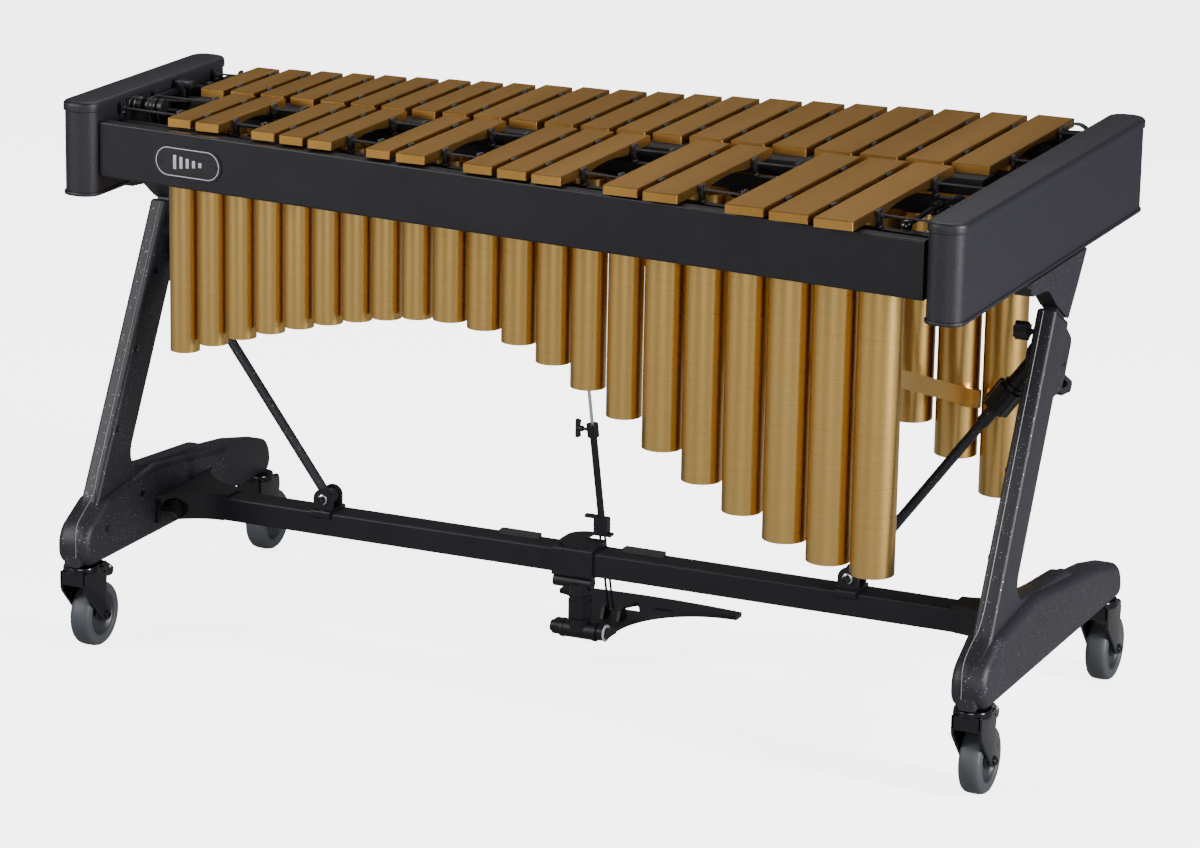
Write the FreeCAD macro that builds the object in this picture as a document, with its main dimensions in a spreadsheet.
import FreeCAD, Part
import math
import os
import re
from FreeCAD import Placement, Rotation, Vector

# Three-octave vibraphone on a wheeled stand.  +X is the low (wide) end, -Y the audience side,
# +Z up, with the origin on the floor below the middle of the frame.  All sizes are millimetres.

doc = FreeCAD.newDocument("vibraphone")

DRIVING = {
    # frame
    "frame_length": 1450, "panel_thick": 58, "panel_height": 141, "panel_base": 715,
    "cap_height": 15, "cap_lip": 2, "panel_wall": 5,
    "low_front": 400, "low_rear": 400, "high_front": 284, "high_rear": 138,
    "rail_thick": 22, "rail_wall": 3, "rail_height": 82, "rail_base": 744,
    # bars
    "bar_top": 843, "bar_thick": 13, "bar_gap": 11.2, "bar_chamfer": 0.9, "lowest_centre": 585.5,
    "sharp_shift": 12, "cord_radius": 1.5, "cord_hole": 2.6, "post_wide": 6, "post_deep": 12,
    "post_rail_wide": 14, "post_rail_base": 792, "post_rail_height": 26,
    # resonators and fans
    "tube_top": 812, "tube_wall": 1.2, "tube_spacing": 4.5, "shaft_height": 790,
    "shaft_radius": 3, "shaft_short": 3, "fan_play": 2.5, "fan_thick": 1.2, "side_rail_height": 22,
    # stand
    "stand_half": 714, "leg_thick": 30, "foot_thick": 54, "foot_base": 138, "lean": 27.5,
    "post_width": 20, "post_depth": 42, "post_length": 330, "post_play": 0.5, "leg_top": 654,
    "crossbar_height": 37, "crossbar_depth": 46, "crossbar_base": 158, "crossbar_y": 10,
    "crossbar_wall": 2.5, "sleeve_wall": 4, "sleeve_length": 66, "sleeve_x": -7,
    "brace_x": 430, "brace_foot": 214, "brace_radius": 7.5, "brace_sleeve_radius": 13,
    # casters
    "wheel_radius": 50, "wheel_width": 34, "hub_radius": 33, "caster_trail": 37,
    "front_swivel": 250, "rear_swivel": 305, "axle_radius": 4, "stem_radius": 6,
    # pedal and damper
    "pedal_x": 2, "pedal_axis": 70, "barrel_radius": 13.5, "barrel_length": 60,
    "pedal_reach": 240, "pedal_half": 148, "rod_radius": 2.6, "rod_tube_radius": 5.5,
    "damper_top": 820,
}

sheet = doc.addObject("Spreadsheet::Sheet", "sizes")
for row, (alias, value) in enumerate(DRIVING.items(), start=1):
    sheet.set("A%d" % row, alias)
    sheet.set("B%d" % row, str(value))
    sheet.setAlias("B%d" % row, alias)
doc.recompute()


def size(alias):
    """The number that the sheet holds under this alias."""
    return float(sheet.get(alias))


def bind(item, **formulas):
    """Ties each property to a formula of the sheet's aliases."""
    for name, formula in formulas.items():
        text = re.sub(r"[a-z_]+", lambda word: "sizes." + word.group()
                      if word.group() in DRIVING else word.group(), str(formula))
        item.setExpression(name, text)


NODES = []


def node(item, label):
    """Marks an object as a finished sub-part with its own file name."""
    item.Label = label
    NODES.append(item)
    return item


# ---------------------------------------------------------------- outlines and primitives

def rounded(corners):
    """Lines and tangent arcs round a closed outline of (u, v, radius) corners."""
    edges = []
    stops = []
    for i, (u, v, radius) in enumerate(corners):
        here = Vector(u, v, 0)
        back = (Vector(*corners[i - 1][:2], 0) - here).normalize()
        ahead = (Vector(*corners[(i + 1) % len(corners)][:2], 0) - here).normalize()
        half = back.getAngle(ahead) / 2
        reach = radius / math.tan(half)
        inward = (back + ahead).normalize() if radius else Vector()
        middle = here + inward * (radius / math.sin(half) - radius)
        stops.append((here + back * reach, middle, here + ahead * reach, radius))
    for i, (start, middle, end, radius) in enumerate(stops):
        if radius:
            edges.append(Part.Arc(start, middle, end))
        following = stops[(i + 1) % len(stops)][0]
        if end.distanceToPoint(following) > 1e-6:
            edges.append(Part.LineSegment(end, following))
    return edges


def sketch(body, role, edges, offset=0):
    """A sketch of these edges on one of the body's own origin planes."""
    plane = next(f for f in body.Origin.OriginFeatures if f.Role == role)
    drawn = body.newObject("Sketcher::SketchObject", body.Name + "_sketch")
    drawn.AttachmentSupport = [(plane, "")]
    drawn.MapMode = "FlatFace"
    drawn.AttachmentOffset = Placement(Vector(0, 0, offset), Rotation())
    drawn.addGeometry(edges, False)
    return drawn


def pad(body, role, edges, length, offset=0, both=True):
    """A pad of the outline, centred on the plane unless both is False."""
    feature = body.newObject("PartDesign::Pad", body.Name + "_pad")
    feature.Profile = sketch(body, role, edges, offset)
    bind(feature, Length=length)
    feature.Midplane = both
    doc.recompute()
    return feature


def pocket(body, role, edges, length, offset=0, both=True, flip=False):
    """A pocket of the outline, which must take material away."""
    before = body.Shape.Volume
    feature = body.newObject("PartDesign::Pocket", body.Name + "_pocket")
    feature.Profile = sketch(body, role, edges, offset)
    bind(feature, Length=length)
    feature.Midplane = both
    feature.Reversed = flip
    doc.recompute()
    if body.Shape.Volume > before - 1:
        raise RuntimeError(feature.Name + " cuts nothing")
    return feature


def circle(u, v, radius):
    return [Part.Circle(Vector(u, v, 0), Vector(0, 0, 1), radius)]


def rectangle(low_u, low_v, high_u, high_v, radius=0):
    return rounded([(low_u, low_v, radius), (high_u, low_v, radius),
                    (high_u, high_v, radius), (low_u, high_v, radius)])


def body(name, place=None):
    made = doc.addObject("PartDesign::Body", name)
    if place:
        made.Placement = place
    return made


def round_edges(made, radius, wanted):
    """Fillets the body's edges that the test picks out."""
    base = made.Tip
    names = ["Edge%d" % (i + 1) for i, edge in enumerate(base.Shape.Edges) if wanted(edge)]
    feature = made.newObject("PartDesign::Fillet", made.Name + "_fillet")
    feature.Base = (base, names)
    feature.Radius = radius
    doc.recompute()
    return feature


def towards(axis):
    """The turn that points a primitive's own Z along this axis."""
    return Rotation(Vector(0, 0, 1), Vector(*axis))


def cylinder(name, radius, height, centre, axis=(0, 0, 1)):
    """A cylinder whose foot is at centre, with bound radius and height."""
    item = doc.addObject("Part::Cylinder", name)
    bind(item, Radius=radius, Height=height)
    item.Placement = Placement(Vector(*centre), towards(axis))
    return item


def box(name, length, width, height, corner, turn=None):
    item = doc.addObject("Part::Box", name)
    bind(item, Length=length, Width=width, Height=height)
    item.Placement = Placement(Vector(*corner), turn or Rotation())
    return item


def cut(name, base, tool):
    item = doc.addObject("Part::Cut", name)
    item.Base = base
    item.Tool = tool
    return item


def fuse(name, pieces):
    item = doc.addObject("Part::MultiFuse", name)
    item.Shapes = pieces
    item.Refine = True
    return item


def group(name, pieces):
    """Separate solids that share one node."""
    item = doc.addObject("Part::Compound", name)
    item.Links = pieces
    return item


def feature(name, shape):
    """A shape that neither a body nor a primitive fits, such as a graded set."""
    item = doc.addObject("Part::Feature", name)
    item.Shape = shape
    return item


def rod(start, end, radius):
    """A plain round rod from one point to another."""
    return Part.makeCylinder(radius, (end - start).Length, start, end - start)


SIDES = (("low", 1), ("high", -1))
PANEL_INNER = size("frame_length") / 2 - size("panel_thick")
PANEL_MID = (size("frame_length") - size("panel_thick")) / 2
FLAT = 0.001


# ---------------------------------------------------------------- layout of the bars

NATURAL_STOCK = [57] * 4 + [52] * 3 + [45] * 6 + [38] * 9
SHARP_AFTER = [i for i in range(21) if i % 7 in (0, 1, 2, 4, 5)]


def natural_centres():
    """X of each natural bar from the lowest to the highest."""
    places = [size("lowest_centre")]
    for wide, narrow in zip(NATURAL_STOCK, NATURAL_STOCK[1:]):
        places.append(places[-1] - (wide + narrow) / 2 - size("bar_gap"))
    return places


NATURAL_X = natural_centres()
SHARP_X = [(a + b) / 2 - size("sharp_shift") for a, b in zip(NATURAL_X, NATURAL_X[1:])]
SPAN = NATURAL_X[0] - NATURAL_X[-1]


def along(x, at_low, at_high):
    """Y on the straight line that runs from the low end's value to the high end's."""
    return at_high + (at_low - at_high) * (x - NATURAL_X[-1]) / SPAN


def natural_ends(x):
    return along(x, 14, -46), along(x, 386, 134)


def sharp_ends(x):
    return along(x, -402, -248), along(x, -4, -60)


def row_line(ends, x, share):
    """Y of the line that lies at this share of the bars' length."""
    front, back = ends(x)
    return front + (back - front) * share


NODAL = 0.224


# ---------------------------------------------------------------- stand

LEAN = math.radians(size("lean"))
RISE = Vector(0, math.sin(LEAN), math.cos(LEAN))
ACROSS = Vector(0, math.cos(LEAN), -math.sin(LEAN))
LEG_FRONT = Vector(0, -5, size("leg_top"))
LEG_DEPTH = 67
STEP_Y = 168


def leg_outline():
    """Side outline of the leaning leg and the top of its foot, as (Y, Z, radius)."""
    sole = size("foot_base") + 2
    front_low = LEG_FRONT - RISE * ((LEG_FRONT.z - 228) / RISE.z)
    rear_top = LEG_FRONT + ACROSS * LEG_DEPTH
    rear_low = rear_top - RISE * ((rear_top.z - 258) / RISE.z)
    return [(-279, sole, 0), (-279, 196, 40), (front_low.y, front_low.z, 34),
            (LEG_FRONT.y, LEG_FRONT.z, 5), (rear_top.y, rear_top.z, 5),
            (rear_low.y, rear_low.z, 30), (120, 238, 60), (150, 200, 0), (60, sole, 0)]


def foot_outline():
    """Side outline of the long foot, as (Y, Z, radius)."""
    base = size("foot_base")
    return [(-279, base, 26), (-279, 196, 40), (-214, 233, 30), (-60, 250, 40),
            (215, 216, 90), (331, 190, 38), (331, base, 18)]


def post_bore(side):
    """The hollow in a leg that its height post slides in."""
    wide = "post_width + 2 * post_play"
    deep = "post_depth + 2 * post_play"
    top = LEG_FRONT + ACROSS * (LEG_DEPTH - size("post_depth")) * 0.5 - ACROSS * size("post_play")
    corner = top + Vector(side * size("stand_half") - size("post_width") / 2
                          - size("post_play"), 0, 0) - RISE * 300
    turn = Rotation(Vector(1, 0, 0), -size("lean"))
    return box("post_bore", wide, deep, 400, corner, turn)


def face_edges(half, above=-1):
    """Picks the outline edges that lie in the faces at X = +half and -half."""
    return lambda edge: (abs(abs(edge.BoundBox.Center.x) - half) < FLAT
                         and edge.BoundBox.XLength < FLAT and edge.BoundBox.ZMin > above)


def leg(name, side):
    """Leaning leg and foot bolted up from two cast halves, with sockets for two caster stems."""
    place = Placement(Vector(side * size("stand_half"), 0, 0), Rotation())
    half = size("foot_thick") / 2
    strut = body(name + "_strut", place)
    pad(strut, "YZ_Plane", rounded(leg_outline()), "leg_thick")
    round_edges(strut, 6, face_edges(size("leg_thick") / 2))
    foot = body(name + "_foot", place)
    pad(foot, "YZ_Plane", rounded(foot_outline()), "foot_thick")
    round_edges(foot, 13, face_edges(half))
    step_x = sorted((-side * (half + 1), -side * (half - 17)))
    pocket(foot, "XY_Plane", rectangle(step_x[0], STEP_Y, step_x[1], 340), 140,
           offset=size("foot_base") - 1, both=False, flip=True)
    for made, y in ((strut, -size("front_swivel")), (foot, -size("front_swivel")),
                    (foot, size("rear_swivel"))):
        pocket(made, "XY_Plane", circle(0, y, size("stem_radius") + 0.05), 34,
               offset=size("foot_base") - 1, both=False, flip=True)
    whole = fuse(name + "_casting", [strut, foot])
    return node(cut(name, whole, post_bore(side)), name)


for label, side in SIDES:
    leg(label + "_leg", side)


def crossbar():
    made = body("crossbar")
    y = size("crossbar_y")
    z = size("crossbar_base") + size("crossbar_height") / 2
    deep = size("crossbar_depth") / 2
    tall = size("crossbar_height") / 2
    wall = size("crossbar_wall")
    pad(made, "YZ_Plane", rectangle(y - deep, z - tall, y + deep, z + tall, 3),
        "2 * stand_half - foot_thick")
    pocket(made, "YZ_Plane", rectangle(y - deep + wall, z - tall + wall,
                                       y + deep - wall, z + tall - wall, 1.5), "2 * stand_half")
    return node(made, "crossbar")


crossbar()
BAR_FRONT = size("crossbar_y") - size("crossbar_depth") / 2
BAR_BACK = size("crossbar_y") + size("crossbar_depth") / 2
BAR_LOW = size("crossbar_base")
BAR_HIGH = size("crossbar_base") + size("crossbar_height")
FOOT_INNER = size("stand_half") - size("foot_thick") / 2


def saddle(name, centre_x, length, low):
    """A rectangular clamp over the crossbar whose sides reach down to this height."""
    made = body(name, Placement(Vector(centre_x, 0, 0), Rotation()))
    wall = size("sleeve_wall")
    hollow = BAR_LOW if low < BAR_LOW else low - 20
    pad(made, "YZ_Plane", rectangle(BAR_FRONT - wall, low, BAR_BACK + wall, BAR_HIGH + wall, 3.5),
        length)
    pocket(made, "YZ_Plane", rectangle(BAR_FRONT, hollow, BAR_BACK, BAR_HIGH, 3), "2 * stand_half")
    return made


def crossbar_sleeve():
    """Centre clamp that carries the pedal, with a round tab over the back edge."""
    made = saddle("sleeve_clamp", size("sleeve_x"), "sleeve_length", BAR_LOW - size("sleeve_wall"))
    pad(made, "XY_Plane", rectangle(-33, BAR_FRONT, 33, BAR_BACK + 34, 30), 4,
        offset=BAR_HIGH + size("sleeve_wall") - 0.5, both=False)
    pocket(made, "XY_Plane", rectangle(0, BAR_BACK + size("sleeve_wall"), 60, 90), 60,
           offset=BAR_HIGH - 20, both=False, flip=True)
    return node(made, "crossbar_sleeve")


crossbar_sleeve()


BRACKET_KNOB = (-47, 176)
KNOB_ROOM = 17


def end_brackets():
    """Curved gusset plates that bolt the crossbar's ends to the feet."""
    pieces = []
    for label, side in SIDES:
        made = body(label + "_gusset")
        inner = side * FOOT_INNER
        reach = side * (FOOT_INNER - 95)
        outline = [(inner, -72), (inner, 112), (reach, BAR_BACK), (reach, BAR_FRONT)]
        rear = Part.Arc(Vector(*outline[1], 0), Vector(side * (FOOT_INNER - 34), 58, 0),
                        Vector(*outline[2], 0))
        front = Part.Arc(Vector(*outline[3], 0), Vector(side * (FOOT_INNER - 30), -34, 0),
                         Vector(*outline[0], 0))
        edges = [Part.LineSegment(Vector(*outline[0], 0), Vector(*outline[1], 0)), rear,
                 Part.LineSegment(Vector(*outline[2], 0), Vector(*outline[3], 0)), front]
        pad(made, "XY_Plane", edges, 5, offset=BAR_HIGH, both=False)
        skirt = feature(label + "_skirt", curved_skirt(side))
        pieces.append(fuse(label + "_end_bracket", [made, skirt]))
    return node(group("crossbar_end_brackets", pieces), "crossbar_end_brackets")


def curved_skirt(side):
    """Upright flange on the foot's inner face that sweeps round into the crossbar's front."""
    inner = side * FOOT_INNER
    tall = BAR_HIGH - BAR_LOW
    wall = 5
    near = Part.Arc(Vector(inner - side * 95, BAR_FRONT, BAR_LOW),
                    Vector(inner - side * 30, -34, BAR_LOW), Vector(inner, -72, BAR_LOW)).toShape()
    swept = near.extrude(Vector(0, wall, 0)).extrude(Vector(0, 0, tall))
    swept = swept.cut(Part.makeBox(200, 100, tall, Vector(inner - 100, BAR_FRONT, BAR_LOW)))
    room = Part.makeCylinder(KNOB_ROOM, 60, Vector(inner - side * wall, *BRACKET_KNOB),
                             Vector(-side, 0, 0))
    flange = Part.makeBox(wall, BAR_FRONT + 72, tall, Vector(inner - max(side * wall, 0), -72, BAR_LOW))
    return swept.cut(room).fuse(flange)


end_brackets()


def crossbar_pads():
    """Two rubber pads on top of the crossbar, one each side of the centre clamp."""
    pieces = []
    for i, x in enumerate((-143, 61)):
        made = body("pad_block_%d" % i)
        pad(made, "XY_Plane", rectangle(x, 14, x + 66, 30, 3), 6, offset=BAR_HIGH, both=False)
        pieces.append(made)
    return node(group("crossbar_pads", pieces), "crossbar_pads")


crossbar_pads()

BRACE_FOOT = Vector(size("brace_x"), size("crossbar_y"), size("brace_foot"))
BRACE_HEAD = Vector(size("stand_half") - size("leg_thick") / 2, size("crossbar_y"), 577)
BRACE_LINE = (BRACE_HEAD - BRACE_FOOT).normalize()
BRACE_JOIN = BRACE_FOOT + BRACE_LINE * 352


def mirrored(point, side):
    return Vector(side * point.x, point.y, point.z)


BRACE_BOLT = 4


def brace_brackets():
    """Saddle clamps on the crossbar, each with two ears and a cross bolt for a brace."""
    pieces = []
    for label, side in SIDES:
        clamp = saddle(label + "_brace_clamp", side * size("brace_x"), 32, BAR_HIGH - 9)
        ears = []
        for i, y in enumerate((size("crossbar_y") - 18, size("crossbar_y") + 12)):
            ear = body("%s_ear_%d" % (label, i), Placement(Vector(0, y + 3, 0), Rotation()))
            x = side * size("brace_x")
            pad(ear, "XZ_Plane", rounded([(x - 16, BAR_HIGH + 1, 0), (x + 16, BAR_HIGH + 1, 0),
                                          (x + 16, 230, 15), (x - 16, 230, 15)]), 6)
            pocket(ear, "XZ_Plane", circle(x, size("brace_foot"), BRACE_BOLT + 0.05), 20)
            ears.append(ear)
        pieces.append(fuse(label + "_brace_bracket", [clamp] + ears))
    return node(group("brace_brackets", pieces), "brace_brackets")


brace_brackets()


def braces():
    """Two-piece diagonal braces: rod with an eye below, sleeve with a leg boss above."""
    rods = []
    sleeves = []
    for label, side in SIDES:
        foot = mirrored(BRACE_FOOT, side)
        join = mirrored(BRACE_JOIN, side)
        head = mirrored(BRACE_HEAD, side)
        line = (head - foot).normalize()
        eye = cylinder(label + "_eye", 12, 23.4, foot - Vector(0, 11.7, 0), (0, 1, 0))
        lower = cylinder(label + "_rod", "brace_radius", 352, foot, line)
        ferrule = cylinder(label + "_ferrule", "brace_radius + 2.5", 30, join - line * 32, line)
        bolt = cylinder(label + "_bolt", BRACE_BOLT, 47, foot - Vector(0, 23.5, 0), (0, 1, 0))
        rods.append(fuse(label + "_brace_rod", [eye, lower, ferrule, bolt]))
        upper = cylinder(label + "_sleeve", "brace_sleeve_radius", 140, join, line)
        corner = (head.x if side > 0 else head.x - 80, -90, 470)
        trimmed = cut(label + "_sleeve_cut", upper, box(label + "_beyond", 80, 200, 260, corner))
        boss = cylinder(label + "_boss", 19, 12, head - Vector(side * 12, 0, 0), (side, 0, 0))
        sleeves.append(fuse(label + "_brace_sleeve", [trimmed, boss]))
    node(group("brace_rods", rods), "brace_rods")
    node(group("brace_sleeves", sleeves), "brace_sleeves")


braces()


def star_knob(name, lobes, radius, length, place, stem, stem_length):
    """A lobed grip on a threaded stem, both in one node."""
    made = body(name + "_grip", place)
    points = []
    for i in range(lobes * 2):
        angle = math.pi * i / lobes
        reach = radius if i % 2 == 0 else radius * 0.72
        points.append((reach * math.cos(angle), reach * math.sin(angle), radius * 0.16))
    pad(made, "XY_Plane", rounded(points), length, both=False)
    pad(made, "XY_Plane", circle(0, 0, stem), length + stem_length, both=False)
    return made


def leg_knobs():
    """Star knobs that lock the height posts, on the legs' inner faces."""
    for label, side in SIDES:
        face = side * (size("stand_half") - size("leg_thick") / 2)
        place = Placement(Vector(face - side * 34, 8, 614), towards((side, 0, 0)))
        node(star_knob(label + "_leg_knob", 6, 15, 20, place, 4, 13.6), label + "_leg_knob")


leg_knobs()


def bracket_knobs():
    """Lobed screws that clamp the crossbar's end brackets to the feet."""
    for label, side in SIDES:
        face = side * (FOOT_INNER - 5)
        place = Placement(Vector(face - side * 22, *BRACKET_KNOB), towards((side, 0, 0)))
        node(star_knob(label + "_bracket_knob", 4, 15, 12, place, 5, 9.6), label + "_bracket_knob")


bracket_knobs()


def brace_collars():
    """Lobed union nuts that lock each brace rod in its sleeve."""
    for label, side in SIDES:
        join = mirrored(BRACE_JOIN, side)
        line = (mirrored(BRACE_HEAD, side) - mirrored(BRACE_FOOT, side)).normalize()
        made = body(label + "_collar", Placement(join - line * 1.6, towards(line)))
        points = []
        for i in range(16):
            reach = 22 if i % 2 == 0 else 19
            points.append((reach * math.cos(math.pi * i / 8), reach * math.sin(math.pi * i / 8), 1.5))
        pad(made, "XY_Plane", rounded(points), 40, both=False)
        pad(made, "XY_Plane", circle(0, 0, 16), 47, both=False)
        pocket(made, "XY_Plane", circle(0, 0, size("brace_sleeve_radius") + 0.3), 60,
               offset=1.6, both=False, flip=True)
        pocket(made, "XY_Plane", circle(0, 0, size("brace_radius") + 0.3), 200)
        node(made, label + "_brace_collar")


brace_collars()


HEIGHT_PIVOT = (44, 562)


def lever_housings():
    """Covers on the back of each leg top that the height levers work in."""
    pieces = []
    for label, side in SIDES:
        made = body(label + "_housing", Placement(Vector(side * size("stand_half"), 0, 0), Rotation()))
        rear = LEG_FRONT + ACROSS * LEG_DEPTH
        top = rear - RISE * 10
        low = rear - RISE * 112
        pad(made, "YZ_Plane", rounded([(top.y, top.z, 0), (top.y + 26, top.z - 22, 12),
                                       (low.y + 48, low.z + 20, 12), (low.y + 30, low.z + 2, 6),
                                       (low.y, low.z, 0)]), 26)
        pocket(made, "YZ_Plane", rectangle(32, 480, 130, 577), 15)
        pocket(made, "YZ_Plane", circle(*HEIGHT_PIVOT, 2.6), 60)
        pieces.append(made)
    return node(group("lever_housings", pieces), "lever_housings")


lever_housings()


def height_levers():
    """Looped squeeze levers below the housings that free the height posts."""
    for label, side in SIDES:
        made = body(label + "_lever", Placement(Vector(side * size("stand_half"), 0, 0), Rotation()))
        pad(made, "YZ_Plane", rounded([(37, 570, 5), (52, 570, 5), (58, 547, 4), (106, 521, 5),
                                       (98, 508, 6), (56, 512, 8), (38, 540, 4)]), 14)
        pad(made, "YZ_Plane", circle(*HEIGHT_PIVOT, 2.5), 29)
        pocket(made, "YZ_Plane", rounded([(54, 541, 3), (92, 520, 3), (60, 522, 3)]), 30)
        node(made, label + "_height_lever")


height_levers()


def leg_bolts():
    """Cap screws on the inner faces that hold the two halves of each leg together."""
    pieces = []
    for label, side in SIDES:
        shin = side * (size("stand_half") - size("leg_thick") / 2)
        places = [Vector(shin, 0, 0) + LEG_FRONT - RISE * down + ACROSS * 13
                  for down in (110, 235, 360)]
        places += [Vector(side * FOOT_INNER, -216, 188), Vector(side * FOOT_INNER, -112, 216)]
        for i, point in enumerate(places):
            pieces.append(cylinder("%s_screw_%d" % (label, i), 5, 2, point, (-side, 0, 0)))
    return node(group("leg_bolts", pieces), "leg_bolts")


leg_bolts()


# ---------------------------------------------------------------- casters

def revolve(made, edges):
    """A full turn of an (axial, radial) outline about the body's X axis."""
    feature_made = made.newObject("PartDesign::Revolution", made.Name + "_turn")
    drawn = sketch(made, "XY_Plane", edges)
    feature_made.Profile = drawn
    feature_made.ReferenceAxis = (drawn, ["H_Axis"])
    feature_made.Angle = 360
    doc.recompute()


def wheel(name, centre):
    """Moulded hub with a bored boss, and the soft tyre round it."""
    hub = body(name + "_hub", Placement(centre, Rotation()))
    bore = size("axle_radius") + 0.05
    rim = size("hub_radius")
    profile = [(bore, 16), (12, 16), (15, 10), (rim - 4, 10), (rim - 3, 13.5), (rim, 13.5)]
    corners = [(x, r, 0.0) for r, x in profile] + [(-x, r, 0.0) for r, x in reversed(profile)]
    revolve(hub, rounded(corners))
    tyre = body(name + "_tyre", Placement(centre, Rotation()))
    half = size("wheel_width") / 2
    outer = size("wheel_radius")
    revolve(tyre, rounded([(-13.5, rim, 0), (13.5, rim, 0), (half, rim + 3, 2), (half - 1, outer, 8),
                           (1 - half, outer, 8), (-half, rim + 3, 2)]))
    return node(group(name, [hub, tyre]), name)


BRAKE_PIVOT = (29, 121)


def yoke(name, place):
    """Forked caster body with its bearing rings, stem and axle."""
    trail = size("caster_trail")
    axle_z = size("wheel_radius")
    made = body(name + "_fork", Placement(place, Rotation()))
    pad(made, "YZ_Plane", rounded([(-26, 130, 0), (36, 130, 8), (39, 112, 12), (36, 98, 20),
                                   (trail + 13, 56, 9), (trail + 3, 37, 9), (trail - 13, 46, 9),
                                   (-26, 101, 18)]), 46)
    pocket(made, "XZ_Plane", rectangle(-18, -5, 18, 112, 6), 300)
    pad(made, "XY_Plane", circle(0, 0, 27), 10.6, offset=127, both=False)
    pad(made, "XY_Plane", circle(0, 0, size("stem_radius")), 38, offset=128, both=False)
    pocket(made, "XY_Plane", rectangle(-15.6, 20, 15.6, 80), 36.5, offset=98, both=False, flip=True)
    pocket(made, "YZ_Plane", circle(*BRAKE_PIVOT, 2.6), 100)
    pocket(made, "YZ_Plane", circle(trail, axle_z, size("axle_radius") + 0.05), 100)
    axle = cylinder(name + "_axle", "axle_radius", 51,
                    place + Vector(-25.5, trail, axle_z), (1, 0, 0))
    return node(group(name, [made, axle]), name)


def brake(name, place):
    """Toe lever on a rivet pin at the back of the fork."""
    made = body(name, Placement(place, Rotation()))
    pad(made, "YZ_Plane", rounded([(22, 127, 3), (46, 133, 6), (72, 115, 6), (68, 105, 5),
                                   (56, 105, 4), (36, 113, 4), (23, 115, 3)]), 30)
    pad(made, "YZ_Plane", circle(*BRAKE_PIVOT, 2.5), 46)
    return node(made, name)


def casters():
    for label, side in SIDES:
        for end, y in (("front", -size("front_swivel")), ("rear", size("rear_swivel"))):
            place = Vector(side * size("stand_half"), y, 0)
            tag = "%s_%s" % (label, end)
            yoke(tag + "_yoke", place)
            wheel(tag + "_wheel", place + Vector(0, size("caster_trail"), size("wheel_radius")))
            if end == "front":
                brake(tag + "_brake", place)


casters()


# ---------------------------------------------------------------- pedal and damper linkage

def pedal_post():
    """Hanging post under the centre clamp, its hinge barrel and the hinge pin."""
    x = size("pedal_x")
    clamp = cylinder("post_clamp", 10, 62, (x - 42, -3, BAR_LOW - size("sleeve_wall") - 10), (1, 0, 0))
    post = cylinder("post_stem", 16.5, 74, (x, -3, size("pedal_axis")))
    collar = cylinder("post_collar", 18, 26, (x, -3, size("pedal_axis") + 22))
    half = size("barrel_length") / 2
    barrel = cylinder("post_barrel", "barrel_radius", "barrel_length",
                      (x - half, -3, size("pedal_axis")), (1, 0, 0))
    whole = fuse("post_whole", [clamp, post, collar, barrel])
    bore = cylinder("post_bore_tool", 5, 300, (x - 150, -3, size("pedal_axis")), (1, 0, 0))
    pin = cylinder("pedal_pin", 5, 92, (x - 46, -3, size("pedal_axis")), (1, 0, 0))
    caps = [cylinder("pin_cap_%d" % i, 9, 4, (x + offset, -3, size("pedal_axis")), (1, 0, 0))
            for i, offset in enumerate((-46, 42))]
    pin_whole = fuse("pedal_pin_whole", [pin] + caps)
    return node(group("pedal_post", [cut("post_bored", whole, bore), pin_whole]), "pedal_post")


pedal_post()


def pedal_plate():
    """Winged foot plate with two hinge ears and a fork that pulls the damper rod."""
    x = size("pedal_x")
    half = size("pedal_half")
    reach = size("pedal_reach") - 40
    made = body("pedal_plate")
    middle = x + 31
    near = 24
    hinge = 41.7
    left = [Vector(x - hinge, near, 0), Vector(x - 40, 112, 0), Vector(middle - half, reach - 22, 0)]
    right = [Vector(middle + half, reach - 22, 0), Vector(x + 58, 112, 0), Vector(x + hinge, near, 0)]
    far = [Vector(middle - half, reach, 0), Vector(middle, reach + 10, 0), Vector(middle + half, reach, 0)]
    edges = [Part.Arc(*left), Part.LineSegment(left[2], far[0]), Part.Arc(*far),
             Part.LineSegment(far[2], right[0]), Part.Arc(*right),
             Part.LineSegment(right[2], left[0])]
    pad(made, "XY_Plane", edges, 7, offset=58, both=False)
    pad(made, "YZ_Plane", rounded([(-14, 60, 9), (-14, 81, 9), (8, 81, 9), (40, 64, 0), (40, 58, 0),
                                   (-2, 58, 0)]), 2 * hinge, offset=x)
    pocket(made, "XY_Plane", rectangle(x - 30.6, -40, x + 30.6, 17), 200)
    pocket(made, "YZ_Plane", circle(-3, size("pedal_axis"), 5.05), 400)
    for ear_x in (x + 2, x + 29):
        ear = [(70, 62, 0), (102, 62, 0), (94, 84, 6), (78, 84, 6)]
        pad(made, "YZ_Plane", rounded(ear), 5, offset=ear_x)
    pocket(made, "XY_Plane", rounded([(x - 6, 132, 3), (x + 40, 132, 3), (x + 17, 176, 3)]), 400)
    pocket(made, "XY_Plane", rectangle(x + 50, 152, x + 84, 160, 3.5), 400)
    return node(made, "pedal_plate")


pedal_plate()

ROD_TOP = Vector(-28, -15, 799)
ROD_FOOT = Vector(14, 47, 217)
ROD_LINE = (ROD_FOOT - ROD_TOP).normalize()
ROD_LENGTH = (ROD_FOOT - ROD_TOP).Length
ROD_PIN = 2
CATCH_BASE = 206


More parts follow.
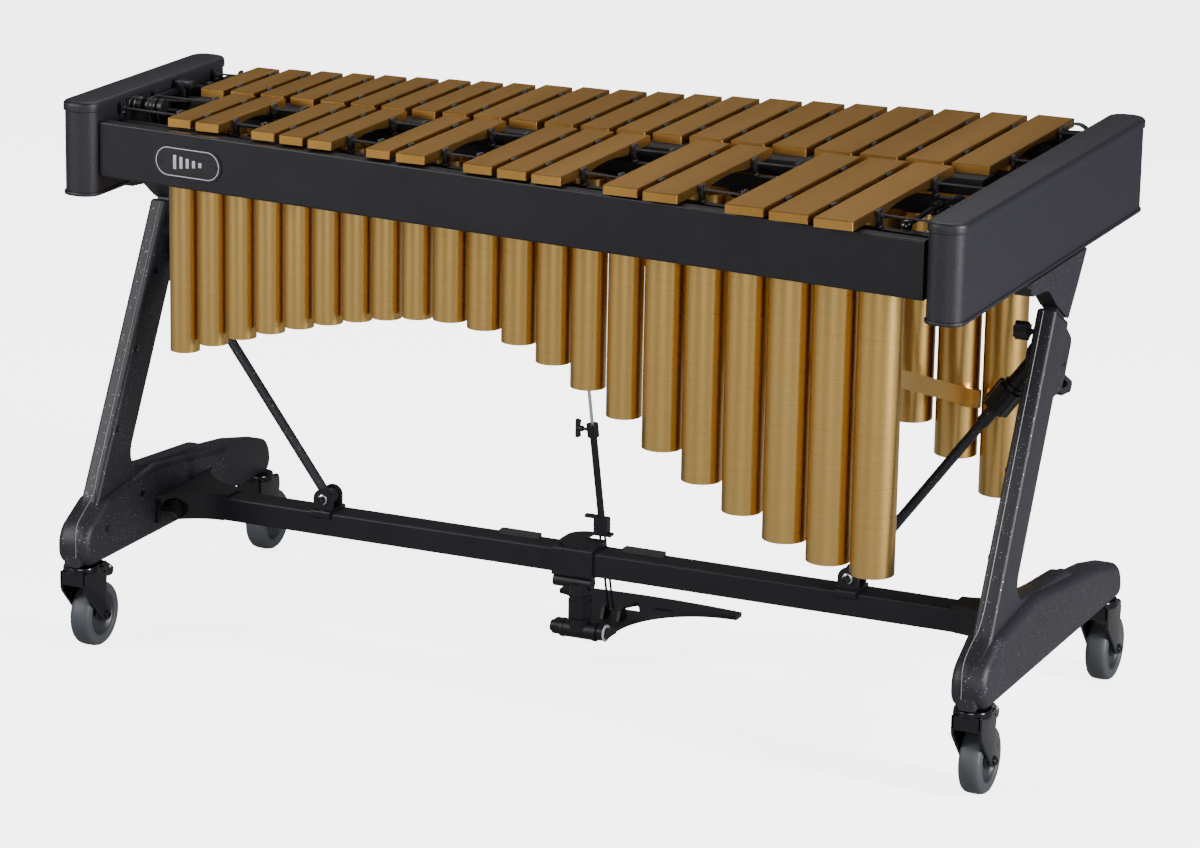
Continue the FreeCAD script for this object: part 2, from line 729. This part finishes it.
def damper_rod():
    """Steel rod whose eye hangs from the damper bar; it telescopes in the lower tube."""
    shank = cylinder("rod_shank", "rod_radius", 545, ROD_TOP, ROD_LINE)
    eye = cylinder("rod_eye", 5, 5.4, ROD_TOP - Vector(2.7, 0, 0), (1, 0, 0))
    hole = cylinder("rod_eye_hole", ROD_PIN + 0.05, 12, ROD_TOP - Vector(6, 0, 0), (1, 0, 0))
    return node(cut("rod_bored", fuse("rod_whole", [shank, eye]), hole), "damper_rod")


damper_rod()


def damper_tube():
    """Black tube below the rod with a clamping eye on top and a stepped catch at its foot."""
    bore = size("rod_radius") + 0.3
    start = ROD_TOP + ROD_LINE * 430
    tube = cylinder("tube_shank", "rod_tube_radius", ROD_LENGTH - 440, start, ROD_LINE)
    eye = cylinder("tube_eye", 9, 20, start - ROD_LINE * 10, ROD_LINE)
    foot = box("tube_foot", 22, 14, 28, (ROD_FOOT.x - 12, ROD_FOOT.y - 7, CATCH_BASE))
    catch = box("tube_catch", 20, 8, 5, (ROD_FOOT.x - 28, ROD_FOOT.y - 4, CATCH_BASE + 25))
    lip = box("tube_lip", 8, 14, 4, (ROD_FOOT.x + 8, ROD_FOOT.y - 7, CATCH_BASE))
    whole = fuse("tube_whole", [tube, eye, foot, catch, lip])
    hollow = cylinder("tube_hollow", bore, ROD_LENGTH - 450, start - ROD_LINE * 14, ROD_LINE)
    bored = cut("tube_bored", whole, hollow)
    screw = cylinder("tube_screw_hole", 2.6, 30, start + Vector(-22, 0, 0), (1, 0, 0))
    return node(cut("tube_drilled", bored, screw), "damper_tube")


damper_tube()


def pedal_links():
    """Two thin wires from the tube's foot down to the pedal's fork, with their cross pin."""
    x = size("pedal_x")
    pieces = []
    for i, offset in enumerate((-4, 4)):
        top = Vector(ROD_FOOT.x + offset, ROD_FOOT.y, CATCH_BASE)
        low = Vector(x + 12 + offset, 84, 78)
        pieces.append(feature("link_%d" % i, level_top(rod(top + (top - low) * 0.05, low, 1.8))))
    pin = cylinder("link_pin", 2.2, 13, (x + 5.5, 84, 78), (1, 0, 0))
    return node(fuse("link_whole", pieces + [pin]), "pedal_links")


def level_top(wire):
    """Cuts a wire off level with the underside of the tube's foot."""
    return wire.cut(Part.makeBox(60, 60, 40, Vector(ROD_FOOT.x - 30, ROD_FOOT.y - 30, CATCH_BASE)))


pedal_links()


def wing_screw():
    """Wing screw that locks the rod in the tube's eye."""
    start = ROD_TOP + ROD_LINE * 430
    place = Placement(start - Vector(26, 0, 0), towards((1, 0, 0)))
    made = body("wing_grip", place)
    pad(made, "XY_Plane", circle(0, 0, 4.5), 10, both=False)
    pad(made, "XY_Plane", circle(0, 0, 2.5), 22, both=False)
    pad(made, "XZ_Plane", rounded([(-15, -2, 2), (15, -2, 2), (13, 7, 3), (0, 4, 3), (-13, 7, 3)]), 4)
    return node(made, "rod_wing_screw")


wing_screw()


# ---------------------------------------------------------------- upper frame

PANEL_ENDS = {"low": (-size("low_front"), size("low_rear")),
              "high": (-size("high_front"), size("high_rear"))}


def end_panels():
    """Round-ended end panels, hollow inside, with a thicker rim at the foot."""
    caps = []
    for label, side in SIDES:
        front, rear = PANEL_ENDS[label]
        half = size("panel_thick") / 2
        lip = size("cap_lip")
        wall = size("panel_wall")
        place = Placement(Vector(side * PANEL_MID, 0, 0), Rotation())
        shell = body(label + "_panel", place)
        pad(shell, "XY_Plane", rectangle(lip - half, front + lip, half - lip, rear - lip, half - 5),
            "panel_height - cap_height", offset=size("panel_base"), both=False)
        pad(shell, "XY_Plane", rectangle(-half, front, half, rear, half - 4), 6,
            offset=size("panel_base"), both=False)
        pocket(shell, "XY_Plane", rectangle(wall - half + lip, front + wall + lip,
                                            half - wall - lip, rear - wall - lip, half - 11), 220,
               offset=size("panel_base") + 4, both=False, flip=True)
        node(shell, label + "_end_panel")
        cap = body(label + "_cap", place)
        pad(cap, "XY_Plane", rectangle(-half, front, half, rear, half - 4), "cap_height",
            offset=size("panel_base") + size("panel_height") - size("cap_height"), both=False)
        top = size("panel_base") + size("panel_height")
        round_edges(cap, 5, lambda e: abs(e.BoundBox.ZMin - top) < FLAT)
        caps.append(cap)
    return node(group("end_caps", caps), "end_caps")


end_panels()


def rail(name, low_y, high_y, thick):
    """A long rail whose outer face runs from the high panel to the low one."""
    made = body(name)
    inner = PANEL_INNER
    edges = rounded([(-inner, high_y, 0), (inner, low_y, 0), (inner, low_y + thick, 0),
                     (-inner, high_y + thick, 0)])
    pad(made, "XY_Plane", edges, "rail_height", offset=size("rail_base"), both=False)
    top = size("rail_base") + size("rail_height")
    round_edges(made, 2.5, lambda e: e.BoundBox.XLength > 1000 and
                (abs(e.BoundBox.ZMax - top) < FLAT or abs(e.BoundBox.ZMin - size("rail_base")) < FLAT))
    wall = size("rail_wall")
    hollow = rounded([(-inner - 1, high_y + wall, 0), (inner + 1, low_y + wall, 0),
                      (inner + 1, low_y + thick - wall, 0), (-inner - 1, high_y + thick - wall, 0)])
    pocket(made, "XY_Plane", hollow, "rail_height - 2 * rail_wall",
           offset=size("rail_base") + wall, both=False, flip=True)
    return node(made, name)


FRONT_RAIL = (-388, -261)
REAR_RAIL = (392, 130)
rail("front_rail", *FRONT_RAIL, size("rail_thick"))
rail("rear_rail", REAR_RAIL[0] - size("rail_thick"), REAR_RAIL[1] - size("rail_thick"),
     size("rail_thick"))


def frame_brackets():
    """Castings under the end panels, each with the square post that slides in its leg."""
    pieces = []
    for label, side in SIDES:
        place = Placement(Vector(side * size("stand_half"), 0, 0), Rotation())
        made = body(label + "_bracket", place)
        base = size("panel_base")
        lift = LEG_FRONT + RISE * 4
        rear = lift + ACROSS * LEG_DEPTH
        outline = [(-118, base, 0), (-112, base - 20, 8), (-40, base - 26, 30),
                   (lift.y + 4, lift.z, 4), (rear.y - 2, rear.z, 4), (rear.y + 32, rear.z + 40, 20),
                   (126, base, 0)]
        pad(made, "YZ_Plane", rounded(outline), "leg_thick - 4")
        inner = -size("stand_half") + PANEL_INNER + 6
        outer = size("leg_thick") / 2 - 3
        spread = (inner, outer) if side > 0 else (-outer, -inner)
        pad(made, "XY_Plane", rectangle(spread[0], -118, spread[1], 126, 3), 7,
            offset=base - 7, both=False)
        top = LEG_FRONT + ACROSS * (LEG_DEPTH - size("post_depth")) * 0.5 + RISE * 46
        corner = top - RISE * size("post_length") + Vector(
            side * size("stand_half") - size("post_width") / 2, 0, 0)
        post = box(label + "_post", "post_width", "post_depth", "post_length", corner,
                   Rotation(Vector(1, 0, 0), -size("lean")))
        pieces.append(fuse(label + "_bracket_whole", [made, post]))
    return node(group("frame_brackets", pieces), "frame_brackets")


frame_brackets()


def rail_angle():
    return math.degrees(math.atan2(FRONT_RAIL[0] - FRONT_RAIL[1], 2 * PANEL_INNER))


def badge():
    """Plain oval plate near the high end of the front rail."""
    x = -511
    y = FRONT_RAIL[1] + (FRONT_RAIL[0] - FRONT_RAIL[1]) * (x + PANEL_INNER) / (2 * PANEL_INNER)
    turn = Rotation(Vector(0, 0, 1), rail_angle())
    made = body("badge_plate", Placement(Vector(x, y, size("rail_base") + 39), turn))
    pad(made, "XZ_Plane", rectangle(-59, -23, 59, 23, 22.9), 1.6, both=False)
    for u in (-48, 48):
        pad(made, "XZ_Plane", circle(u, 0, 3), 2.4, both=False)
    return node(made, "badge_plate")


badge()

BAR_BASE = size("bar_top") - size("bar_thick")
CORD_Z = size("bar_top") - 6.5


def strip(name, low, high, base, height, wide, ends=PANEL_INNER):
    """A straight upright strip along the frame whose middle line joins two (x, y) ends."""
    slope = (low - high) / SPAN
    y_low = high + slope * (ends - NATURAL_X[-1])
    y_high = high + slope * (-ends - NATURAL_X[-1])
    outline = Part.makePolygon([Vector(-ends, y_high - wide / 2, base),
                                Vector(ends, y_low - wide / 2, base),
                                Vector(ends, y_low + wide / 2, base),
                                Vector(-ends, y_high + wide / 2, base),
                                Vector(-ends, y_high - wide / 2, base)])
    return feature(name, Part.Face(outline).extrude(Vector(0, 0, height)))


def nodal_lines():
    """The four lines of cord, as (row's end function, share of the bar's length)."""
    return [(sharp_ends, NODAL), (sharp_ends, 1 - NODAL),
            (natural_ends, NODAL), (natural_ends, 1 - NODAL)]


def line_ends(ends, share):
    return row_line(ends, NATURAL_X[0], share), row_line(ends, NATURAL_X[-1], share)


def post_rails():
    """Four rails that carry the cord posts, and two cross beams that carry the damper."""
    pieces = []
    base = size("post_rail_base")
    for i, (ends, share) in enumerate(nodal_lines()):
        low, high = line_ends(ends, share)
        pieces.append(strip("post_rail_%d" % i, low, high, base, size("post_rail_height"),
                            size("post_rail_wide")))
    for i, x in enumerate((-300, 300)):
        front = row_line(sharp_ends, x, 1 - NODAL) - 6
        rear = row_line(natural_ends, x, NODAL) + 6
        pieces.append(box("damper_beam_%d" % i, 20, rear - front, 6, (x - 10, front, base - 6)))
    return node(group("post_rails", pieces), "post_rails")


post_rails()


# ---------------------------------------------------------------- bars, posts and cords

def line_angle(ends, share):
    low, high = line_ends(ends, share)
    return math.degrees(math.atan2(low - high, SPAN))


def tone_bar(x, width, ends):
    """One bar: flat top, arched belly, chamfered rim and two drilled cord holes."""
    front, back = ends(x)
    length = back - front
    thick = size("bar_thick")
    base = BAR_BASE
    belly = [front + length * share for share in (0.3, 0.5, 0.7)]
    scoop = thick * (0.34 + 0.12 * (width - 38) / 19)
    arch = Part.Arc(Vector(0, belly[0], base), Vector(0, belly[1], base + scoop),
                    Vector(0, belly[2], base))
    outline = [Part.makeLine(Vector(0, front, base), Vector(0, belly[0], base)), arch.toShape(),
               Part.makeLine(Vector(0, belly[2], base), Vector(0, back, base)),
               Part.makeLine(Vector(0, back, base), Vector(0, back, base + thick)),
               Part.makeLine(Vector(0, back, base + thick), Vector(0, front, base + thick)),
               Part.makeLine(Vector(0, front, base + thick), Vector(0, front, base))]
    plank = Part.Face(Part.Wire(outline)).extrude(Vector(width, 0, 0))
    plank.translate(Vector(x - width / 2, 0, 0))
    rim = [edge for edge in plank.Edges
           if edge.BoundBox.ZMin > base + thick - FLAT or
           (edge.BoundBox.ZLength > thick - FLAT and edge.BoundBox.XLength < FLAT)]
    plank = plank.makeChamfer(size("bar_chamfer"), rim)
    for share in (NODAL, 1 - NODAL):
        turn = math.radians(line_angle(ends, share))
        line = Vector(math.cos(turn), math.sin(turn), 0)
        middle = Vector(x, row_line(ends, x, share), CORD_Z)
        plank = plank.cut(rod(middle - line * width, middle + line * width, size("cord_hole")))
    return plank


def bars():
    naturals = [tone_bar(x, width, natural_ends) for x, width in zip(NATURAL_X, NATURAL_STOCK)]
    sharps = [tone_bar(SHARP_X[i], NATURAL_STOCK[i + 1], sharp_ends) for i in SHARP_AFTER]
    node(feature("natural_bars", Part.makeCompound(naturals)), "natural_bars")
    node(feature("sharp_bars", Part.makeCompound(sharps)), "sharp_bars")


bars()


def gap_places(row):
    """X of each gap between neighbours in a row, and just beyond both ends."""
    if row is natural_ends:
        edges = [(x, w / 2) for x, w in zip(NATURAL_X, NATURAL_STOCK)]
    else:
        edges = [(SHARP_X[i], NATURAL_STOCK[i + 1] / 2) for i in SHARP_AFTER]
    places = [edges[0][0] + edges[0][1] + size("bar_gap") / 2]
    for (x, half), (following, next_half) in zip(edges, edges[1:]):
        gap = x - half - following - next_half
        if gap > 2 * size("bar_gap"):
            places.append(x - half - size("bar_gap") / 2)
            places.append(following + next_half + size("bar_gap") / 2)
        else:
            places.append(x - half - gap / 2)
    places.append(edges[-1][0] - edges[-1][1] - size("bar_gap") / 2)
    return places


def fork_post(x, y, angle):
    """A slim post with a notch at the top that the cord lies in."""
    base = size("post_rail_base") + size("post_rail_height")
    wide = size("post_wide")
    deep = size("post_deep")
    top = size("bar_top") + 1
    upright = Part.makeBox(wide, deep, top - base, Vector(-wide / 2, -deep / 2, base))
    foot = Part.makeCylinder(5, 5, Vector(0, 0, base))
    notch_half = size("cord_radius") + 0.25
    notch = Part.makeBox(wide + 2, 2 * notch_half, 20, Vector(-wide / 2 - 1, -notch_half,
                                                              CORD_Z - notch_half))
    shape = upright.fuse(foot).cut(notch)
    shape.rotate(Vector(), Vector(0, 0, 1), angle)
    shape.translate(Vector(x, y, 0))
    return shape


LUG = Vector(8, 12, 16)
CORD_REACH = PANEL_INNER - LUG.x


def bar_posts():
    """Every cord post of both rows, and the lugs on the panels that the cords end in."""
    pieces = []
    for ends, share in nodal_lines():
        angle = line_angle(ends, share)
        for x in gap_places(ends):
            pieces.append(fork_post(x, row_line(ends, x, share), angle))
        for x in (-PANEL_INNER, CORD_REACH):
            y = row_line(ends, x + LUG.x / 2, share)
            corner = Vector(x, y - LUG.y / 2, CORD_Z - LUG.z / 2)
            pieces.append(Part.makeBox(LUG.x, LUG.y, LUG.z, corner))
    return node(feature("bar_posts", Part.makeCompound(pieces)), "bar_posts")


bar_posts()


def bar_cords():
    """One taut cord along each nodal line, through every bar and post to the panels."""
    pieces = []
    for ends, share in nodal_lines():
        start = Vector(CORD_REACH - 0.2, row_line(ends, CORD_REACH, share), CORD_Z)
        end = Vector(0.2 - CORD_REACH, row_line(ends, -CORD_REACH, share), CORD_Z)
        pieces.append(rod(start, end, size("cord_radius")))
    return node(feature("bar_cords", Part.makeCompound(pieces)), "bar_cords")


bar_cords()


# ---------------------------------------------------------------- resonators

FRONT_TUBES = [(SHARP_X[i], row_line(sharp_ends, SHARP_X[i], 0.5), NATURAL_STOCK[i + 1])
               for i in range(21)]
REAR_TUBES = [(x, row_line(natural_ends, x, 0.5), width)
              for x, width in zip(NATURAL_X, NATURAL_STOCK)]
LONGEST = 293
SHORTEST = 573
HIGH_END = 466
SHORT_PLACE = 11


def tube_radius(stock):
    return (stock + size("bar_gap") - size("tube_spacing")) / 2


def front_foot(i):
    """Height of a front tube's open foot: a wave up from the low end, then down again."""
    if i <= SHORT_PLACE:
        share = (i / SHORT_PLACE) ** 0.9
        return LONGEST + (SHORTEST - LONGEST) * (1 - math.cos(math.pi * share)) / 2
    share = (i - SHORT_PLACE) / (20 - SHORT_PLACE)
    return SHORTEST - (SHORTEST - HIGH_END) * share ** 1.5


def semitone(i):
    """Semitones of natural bar i above the lowest, F."""
    return 12 * (i // 7) + (0, 2, 4, 6, 7, 9, 11)[i % 7]


def sounding_length(steps):
    """Quarter wave of the note this many semitones above the lowest F."""
    return 491 / 2 ** (steps / 12)


def rear_foot(i):
    return size("tube_top") - sounding_length(semitone(i)) - 9


def shaft_line(tubes):
    """Start and end of a fan shaft that passes over its bank's tube centres."""
    (x1, y1, _), (x2, y2, _) = tubes[0], tubes[-1]
    slope = (y1 - y2) / (x1 - x2)
    z = size("shaft_height")
    reach = PANEL_INNER - size("shaft_short")
    return Vector(reach, y1 + slope * (reach - x1), z), Vector(-reach, y2 - slope * (reach + x2), z)


def resonator_bank(name, tubes, foot_of):
    """Thin-walled tubes, each cleared for the fan shaft that crosses its top."""
    pieces = []
    start, end = shaft_line(tubes)
    passage = rod(start, end, size("shaft_radius") + 1.5)
    for i, (x, y, stock) in enumerate(tubes):
        outer = tube_radius(stock)
        foot = foot_of(i)
        height = size("tube_top") - foot
        tube = Part.makeCylinder(outer, height, Vector(x, y, foot))
        bore = Part.makeCylinder(outer - size("tube_wall"), height + 2, Vector(x, y, foot - 1))
        pieces.append(tube.cut(bore).cut(passage))
    return node(feature(name, Part.makeCompound(pieces)), name)


resonator_bank("front_resonators", FRONT_TUBES, front_foot)
resonator_bank("rear_resonators", REAR_TUBES, rear_foot)


def tube_stoppers():
    """The discs that close the tubes that sound, a quarter wave below the bars."""
    pieces = []
    for i in SHARP_AFTER:
        x, y, stock = FRONT_TUBES[i]
        z = size("tube_top") - sounding_length(semitone(i) + 1)
        z = max(z, front_foot(i) + 1)
        pieces.append(Part.makeCylinder(tube_radius(stock) - size("tube_wall"), 3, Vector(x, y, z)))
    for i, (x, y, stock) in enumerate(REAR_TUBES):
        z = size("tube_top") - sounding_length(semitone(i))
        pieces.append(Part.makeCylinder(tube_radius(stock) - size("tube_wall"), 3, Vector(x, y, z)))
    return node(feature("tube_stoppers", Part.makeCompound(pieces)), "tube_stoppers")


tube_stoppers()


def side_rails():
    """Flat rails along both sides of each bank, with a saddle block at every tube."""
    pieces = []
    height = size("side_rail_height")
    base = size("shaft_height") - 14 - height
    widest = tube_radius(NATURAL_STOCK[0])
    for bank, tubes in (("front", FRONT_TUBES), ("rear", REAR_TUBES)):
        (x1, y1, _), (x2, y2, _) = tubes[0], tubes[-1]
        slope = (y1 - y2) / (x1 - x2)
        for hand in (-1, 1):
            offset = hand * (widest + 4)
            reach = PANEL_INNER
            start = y1 + slope * (-reach - x1) + offset
            finish = y1 + slope * (reach - x1) + offset
            wide = 3
            outline = Part.makePolygon([Vector(-reach, start, base), Vector(reach, finish, base),
                                        Vector(reach, finish + wide, base),
                                        Vector(-reach, start + wide, base),
                                        Vector(-reach, start, base)])
            whole = Part.Face(outline).extrude(Vector(0, 0, height))
            for x, y, stock in tubes:
                radius = tube_radius(stock)
                line = y1 + slope * (x - x1) + offset
                reach_y = line + wide / 2
                low, high = sorted((y + hand * radius * 0.9, reach_y))
                block = Part.makeBox(9, high - low, height - 6, Vector(x - 4.5, low, base + 3))
                hollow = Part.makeCylinder(radius + 0.05, height, Vector(x, y, base))
                whole = whole.fuse(block.cut(hollow))
            pieces.append(whole)
    return node(feature("resonator_rails", Part.makeCompound(pieces)), "resonator_rails")


side_rails()


def resonator_stay():
    """Flat gold stay that ties the low end of the front bank to the rear bank."""
    x1, y1, stock1 = FRONT_TUBES[1]
    x2, y2, stock2 = REAR_TUBES[1]
    start = Vector(x1 + 8, y1 + tube_radius(stock1), 568)
    end = Vector(x2 + 30, y2 - tube_radius(stock2) + 6, 446)
    line = (end - start)
    tall = Vector(0, 0, 27)
    strap = Part.Face(Part.makePolygon([start, end, end + tall, start + tall, start]))
    strap = strap.extrude(Vector(3, 0, 0))
    shape = strap
    for x, y, stock, foot, hand in ((x1, y1, stock1, start, 1), (x2, y2, stock2, end, -1)):
        tab = Part.makeBox(34, 8, 27, Vector(foot.x - 20, foot.y - 4 - hand * 2, foot.z))
        shape = shape.fuse(tab)
        shape = shape.cut(Part.makeCylinder(tube_radius(stock), 60, Vector(x, y, foot.z - 10)))
    return node(feature("resonator_stay", shape), "resonator_stay")


resonator_stay()


# ---------------------------------------------------------------- fans and motor

def fans(name, tubes):
    """A long shaft with a thin disc over each tube's mouth and a pulley at the high end."""
    start, end = shaft_line(tubes)
    whole = rod(start, end, size("shaft_radius"))
    line = (end - start).normalize()
    for x, y, stock in tubes:
        radius = tube_radius(stock) - size("tube_wall") - size("fan_play")
        share = (start.x - x) / (start.x - end.x)
        middle = start + (end - start) * share
        disc = Part.makeCylinder(radius, size("fan_thick"),
                                 middle - Vector(0, 0, size("fan_thick") / 2))
        whole = whole.fuse(disc)
    pulley = Part.makeCylinder(11, 8, end - line * 36, line)
    groove = Part.makeTorus(11.5, 2.2, end - line * 32, line)
    return node(feature(name, whole.fuse(pulley.cut(groove))), name)


fans("front_fans", FRONT_TUBES)
fans("rear_fans", REAR_TUBES)


def shaft_bearings():
    """Bored bearing blocks on both end panels for the two fan shafts."""
    pieces = []
    thick = 10
    for tubes in (FRONT_TUBES, REAR_TUBES):
        start, end = shaft_line(tubes)
        hole = rod(start + (start - end) * FLAT, end + (end - start) * FLAT,
                   size("shaft_radius") + 0.05)
        for point, low_x in ((start, PANEL_INNER - thick), (end, -PANEL_INNER)):
            block = Part.makeBox(thick, 16, 24, Vector(low_x, point.y - 8, point.z - 12))
            pieces.append(block.cut(hole))
    return node(feature("shaft_bearings", Part.makeCompound(pieces)), "shaft_bearings")


shaft_bearings()

MOTOR_AXIS = Vector(-PANEL_INNER, -168, 836)


def motor():
    """Small drum motor on the high panel with its speed box beside it."""
    drum = cylinder("motor_drum", 11, 22, MOTOR_AXIS, (1, 0, 0))
    neck = cylinder("motor_neck", 5, 29, MOTOR_AXIS, (1, 0, 0))
    plate = box("motor_plate", 3, 72, 30, (-PANEL_INNER, -186, 818))
    return node(fuse("motor_whole", [drum, neck, plate]), "motor")


motor()


def motor_pulley():
    made = body("motor_pulley", Placement(MOTOR_AXIS + Vector(30, 0, 0), Rotation()))
    revolve(made, rounded([(0, 0, 0), (0, 12, 0), (3, 12, 0), (5, 9, 0), (7, 12, 0), (9, 12, 0),
                           (11, 9, 0), (13, 12, 0), (16, 12, 0), (18, 8, 0), (18, 0, 0)]))
    return node(made, "motor_pulley")


motor_pulley()


# ---------------------------------------------------------------- damper bar

def damper_line(x):
    """Y of the gap between the two rows of bars."""
    return (natural_ends(x)[0] + sharp_ends(x)[1]) / 2


def damper_bar():
    """Long bar below the gap between the rows, with its felt on top."""
    low = damper_line(NATURAL_X[0])
    high = damper_line(NATURAL_X[-1])
    base = size("damper_top") - 14
    reach = 620
    cheeks = [box("rod_cheek_%d" % i, 3, 12, base - ROD_TOP.z + 6,
                  (ROD_TOP.x + offset, ROD_TOP.y - 6, ROD_TOP.z - 6))
              for i, offset in enumerate((-6, 3))]
    pin = cylinder("rod_pin", ROD_PIN, 12, ROD_TOP - Vector(6, 0, 0), (1, 0, 0))
    plank = strip("damper_plank", low, high, base, 12, 52, reach)
    node(fuse("damper_bar_whole", [plank, pin] + cheeks), "damper_bar")
    node(strip("damper_felt", low, high, base + 12, BAR_BASE - 0.4 - base - 12, 50, reach - 4),
         "damper_felt")
    springs = []
    for x in (-300, 300):
        y = damper_line(x)
        foot = size("post_rail_base")
        height = base - foot
        coil = Part.makeCylinder(6, height, Vector(x, y, foot)).cut(
            Part.makeCylinder(4.6, height, Vector(x, y, foot)))
        springs.append(coil)
    node(feature("damper_springs", Part.makeCompound(springs)), "damper_springs")


damper_bar()

# ---------------------------------------------------------------- checks and export

doc.recompute()
for item in doc.Objects:
    if "Invalid" in item.State or "Error" in item.State:
        raise RuntimeError("%s failed: %s" % (item.Label, item.State))
os.makedirs("parts", exist_ok=True)
for item in NODES:
    if item.Shape.isNull() or not item.Shape.isValid():
        raise RuntimeError(item.Label + " has no valid shape")
    item.Shape.exportStep("parts/%s.step" % item.Label)
